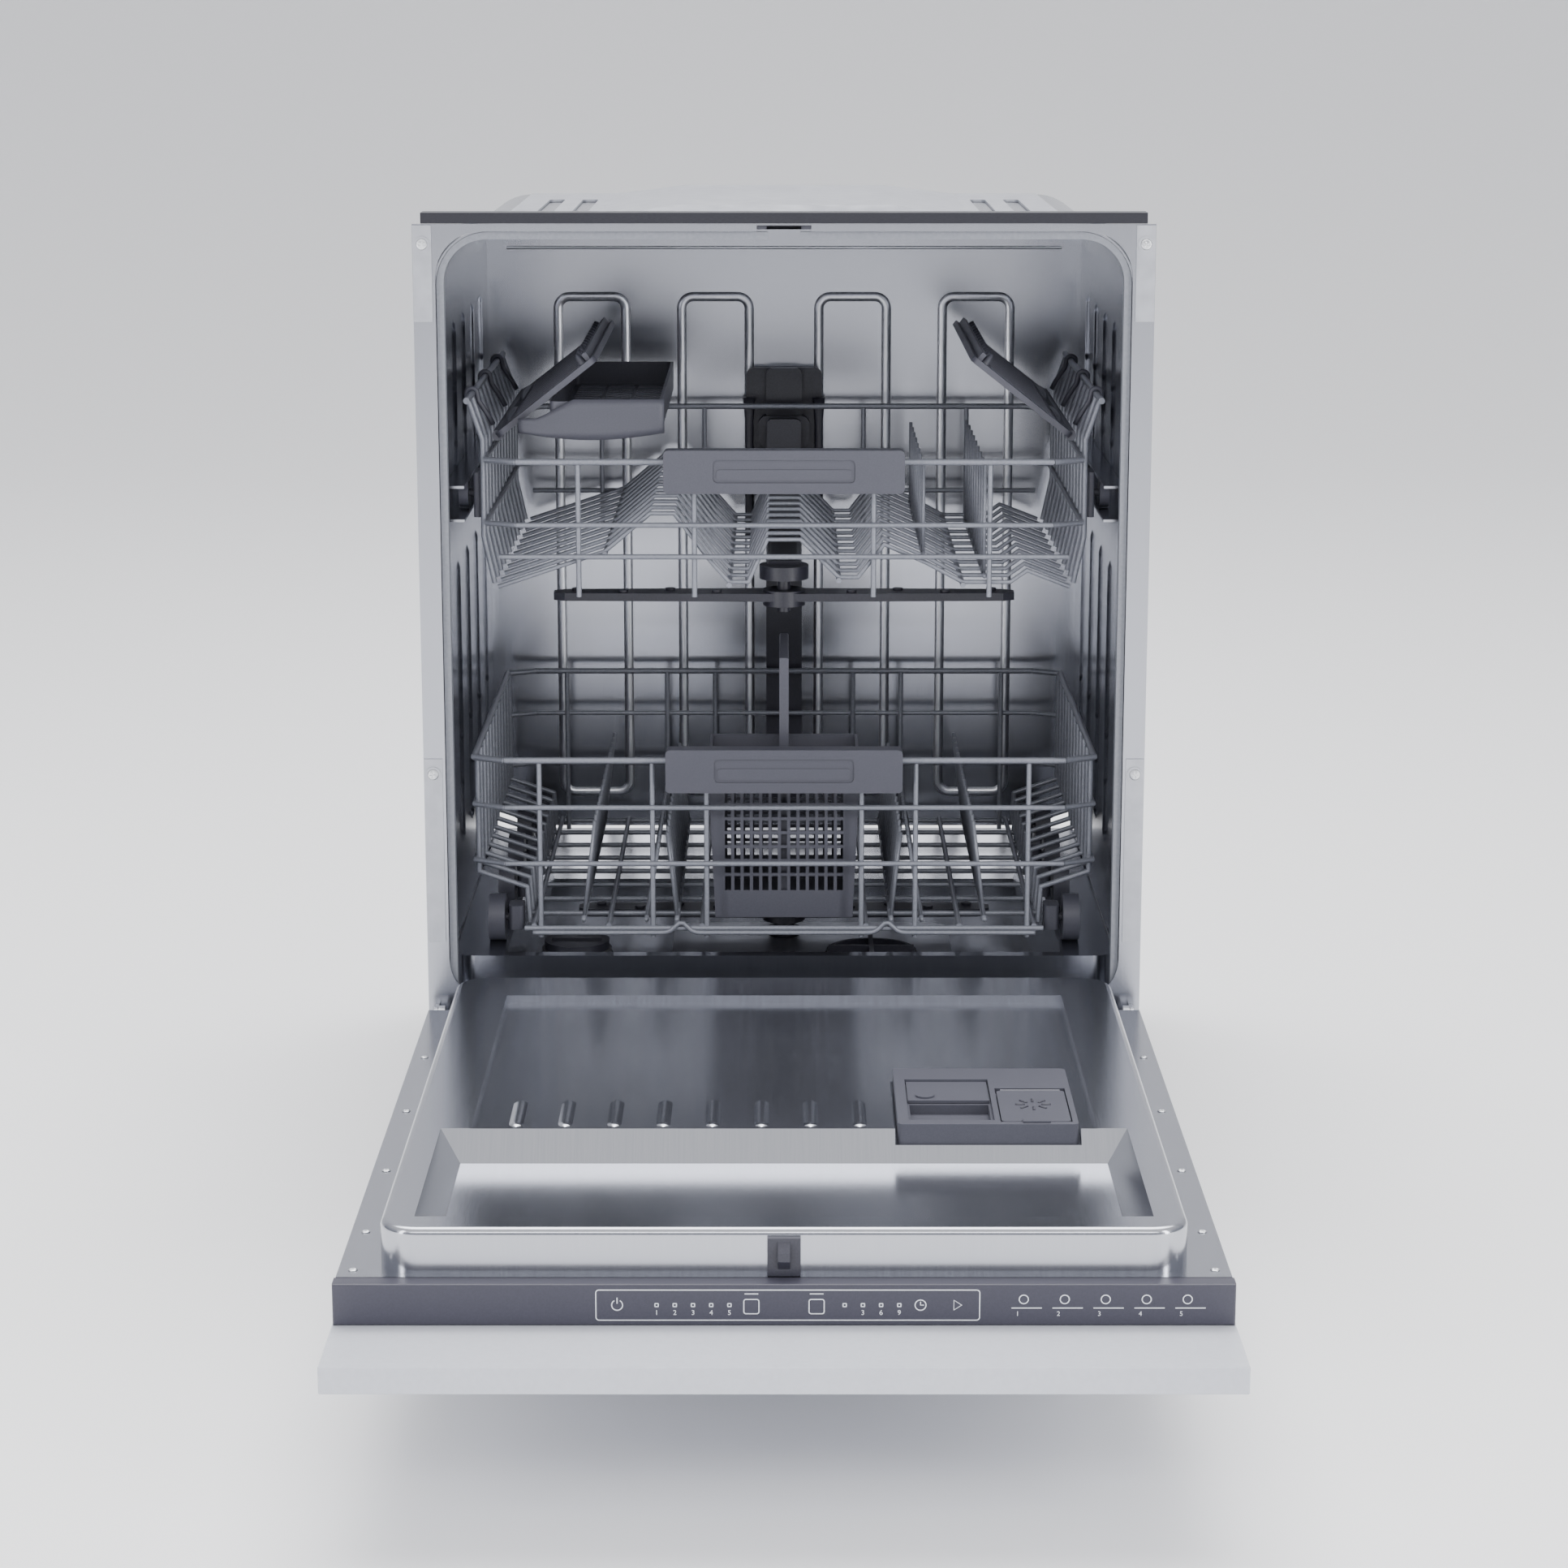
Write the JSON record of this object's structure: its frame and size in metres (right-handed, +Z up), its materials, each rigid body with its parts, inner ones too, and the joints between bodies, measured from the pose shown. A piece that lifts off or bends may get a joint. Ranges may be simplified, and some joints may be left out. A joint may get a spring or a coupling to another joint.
{
  "type": "built-in dishwasher",
  "caption": "Fully integrated dishwasher with a drop-down door, sliding wire racks, cutlery basket, cup shelves, spray arms and a furniture board on the door.",
  "frame": {"origin": "on the floor, on the middle plane, at the plane of the cabinet's front face; the feet stand on Z = 0", "axes": "+X to the user's right, +Y to the back, +Z up"},
  "size_m": [0.598, 1.29, 0.815],
  "materials": {
    "stainless": "bright pressed stainless sheet",
    "zinc_steel": "plain galvanised sheet",
    "grey_plastic": "satin grey moulded plastic",
    "dark_plastic": "dark moulded plastic",
    "base_plastic": "moulded base plastic",
    "rubber": "soft seal rubber",
    "dark_strip": "dark vapour strip",
    "concrete": "cast ballast block",
    "filter_steel": "fine perforated stainless",
    "decor_board": "light grey lacquered board",
    "fascia": "dark grey fascia",
    "coated_wire": "grey nylon-coated wire"
  },
  "bodies": {
    "cabinet": {"base_tray": "base_plastic", "base_weight": "concrete", "chassis_legs": "zinc_steel", "circulation_pump": "dark_plastic", "door_lock": "dark_plastic", "door_springs": "zinc_steel", "drain_pump": "dark_plastic", "feed_tube": "dark_plastic", "filter_plate": "filter_steel", "fixing_brackets": "zinc_steel", "front_frame": "stainless", "guide_rails": "stainless", "inlet_valve": "grey_plastic", "levelling_feet": "dark_plastic", "side_panels": "zinc_steel", "spray_hub": "dark_plastic", "sump": "dark_plastic", "top_plate": "zinc_steel", "tub_back": "stainless", "tub_floor": "stainless", "tub_seal": "rubber", "tub_wrapper": "stainless", "water_softener": "base_plastic", "worktop_strip": "dark_strip"},
    "door": {"door_inner": "stainless", "door_outer": "zinc_steel", "decor_panel": "decor_board", "control_panel": "fascia", "control_board": "dark_plastic", "door_latch": "dark_plastic", "dispenser": "grey_plastic", "door_bottom_seal": "rubber", "hinge_arms": "zinc_steel"},
    "lower_rack": {"lower_rack_floor": "coated_wire", "lower_rack_sides": "coated_wire", "lower_rack_ends": "coated_wire", "lower_handle": "grey_plastic", "cutlery_basket": "grey_plastic", "wheel_brackets": "grey_plastic"},
    "upper_rack": {"upper_rack_floor": "coated_wire", "upper_rack_sides": "coated_wire", "upper_rack_ends": "coated_wire", "upper_handle": "grey_plastic", "upper_conduit": "dark_plastic", "roller_carriers": "grey_plastic", "knife_tray": "grey_plastic"},
    "rinse_lid": {"rinse_lid": "grey_plastic"},
    "detergent_lid": {"detergent_lid": "grey_plastic"},
    "lower_spray_arm": {"lower_spray_arm": "dark_plastic"},
    "upper_spray_arm": {"upper_spray_arm": "grey_plastic"},
    "salt_cap": {"salt_cap": "dark_plastic"},
    "filter_cylinder": {"filter_cylinder": "dark_plastic"},
    "cup_shelf_left": {"cup_shelf_left": "grey_plastic"},
    "cup_shelf_right": {"cup_shelf_right": "grey_plastic"},
    "wheel_pair_1": {"wheel_pair_1": "grey_plastic"},
    "wheel_pair_2": {"wheel_pair_2": "grey_plastic"},
    "wheel_pair_3": {"wheel_pair_3": "grey_plastic"},
    "wheel_pair_4": {"wheel_pair_4": "grey_plastic"},
    "roller_pair_1": {"roller_pair_1": "grey_plastic"},
    "roller_pair_2": {"roller_pair_2": "grey_plastic"}
  },
  "joints": [
    {"name": "door_hinge", "type": "hinge", "parent": "cabinet", "child": "door", "pos_m": [0, -0.013, 0.148], "axis": [-1, 0, 0], "range_deg": [0, 90]},
    {"name": "lower_rack_slide", "type": "slide", "parent": "cabinet", "child": "lower_rack", "axis": [0, 1, 0], "range_m": [-0.394, 0]},
    {"name": "upper_rack_slide", "type": "slide", "parent": "cabinet", "child": "upper_rack", "axis": [0, 1, 0], "range_m": [-0.254, 0]},
    {"name": "detergent_lid_slide", "type": "slide", "parent": "door", "child": "detergent_lid", "axis": [0, 1, 0], "range_m": [-0.047, 0]},
    {"name": "rinse_lid_flip", "type": "hinge", "parent": "door", "child": "rinse_lid", "pos_m": [0.182, -0.3625, 0.1926], "axis": [1, 0, 0], "range_deg": [-80, 0]},
    {"name": "lower_arm_spin", "type": "hinge", "parent": "cabinet", "child": "lower_spray_arm", "pos_m": [0, 0.252, 0.172], "axis": [0, 0, 1], "continuous": true},
    {"name": "upper_arm_spin", "type": "hinge", "parent": "upper_rack", "child": "upper_spray_arm", "pos_m": [0, 0.252, 0.462], "axis": [0, 0, 1], "continuous": true},
    {"name": "salt_cap_turn", "type": "hinge", "parent": "cabinet", "child": "salt_cap", "pos_m": [-0.185, 0.19, 0.155], "axis": [0, 0, 1], "range_deg": [0, 270]},
    {"name": "filter_twist", "type": "hinge", "parent": "cabinet", "child": "filter_cylinder", "pos_m": [0.078, 0.19, 0.12], "axis": [0, 0, 1], "range_deg": [0, 60]},
    {"name": "left_shelf_tilt", "type": "hinge", "parent": "upper_rack", "child": "cup_shelf_left", "pos_m": [-0.241, 0.26, 0.624], "axis": [0, -1, 0], "range_deg": [0, 45]},
    {"name": "right_shelf_tilt", "type": "hinge", "parent": "upper_rack", "child": "cup_shelf_right", "pos_m": [0.241, 0.26, 0.624], "axis": [0, 1, 0], "range_deg": [0, 45]},
    {"name": "wheel_roll_1", "type": "hinge", "parent": "lower_rack", "child": "wheel_pair_1", "pos_m": [0, 0.086, 0.2095], "axis": [1, 0, 0], "range_deg": [-1200, 1200]},
    {"name": "wheel_roll_2", "type": "hinge", "parent": "lower_rack", "child": "wheel_pair_2", "pos_m": [0, 0.19933, 0.2095], "axis": [1, 0, 0], "range_deg": [-1200, 1200]},
    {"name": "wheel_roll_3", "type": "hinge", "parent": "lower_rack", "child": "wheel_pair_3", "pos_m": [0, 0.31267, 0.2095], "axis": [1, 0, 0], "range_deg": [-1200, 1200]},
    {"name": "wheel_roll_4", "type": "hinge", "parent": "lower_rack", "child": "wheel_pair_4", "pos_m": [0, 0.426, 0.2095], "axis": [1, 0, 0], "range_deg": [-1200, 1200]},
    {"name": "roller_roll_1", "type": "hinge", "parent": "upper_rack", "child": "roller_pair_1", "pos_m": [0, 0.104, 0.575], "axis": [1, 0, 0], "range_deg": [-1300, 1300]},
    {"name": "roller_roll_2", "type": "hinge", "parent": "upper_rack", "child": "roller_pair_2", "pos_m": [0, 0.41, 0.575], "axis": [1, 0, 0], "range_deg": [-1300, 1300]}
  ],
  "couplings": [
    {"joint": "wheel_roll_1", "follows": "lower_rack_slide", "rad_per_m": -50},
    {"joint": "wheel_roll_2", "follows": "lower_rack_slide", "rad_per_m": -50},
    {"joint": "wheel_roll_3", "follows": "lower_rack_slide", "rad_per_m": -50},
    {"joint": "wheel_roll_4", "follows": "lower_rack_slide", "rad_per_m": -50},
    {"joint": "roller_roll_1", "follows": "upper_rack_slide", "rad_per_m": -83.333},
    {"joint": "roller_roll_2", "follows": "upper_rack_slide", "rad_per_m": -83.333}
  ]
}
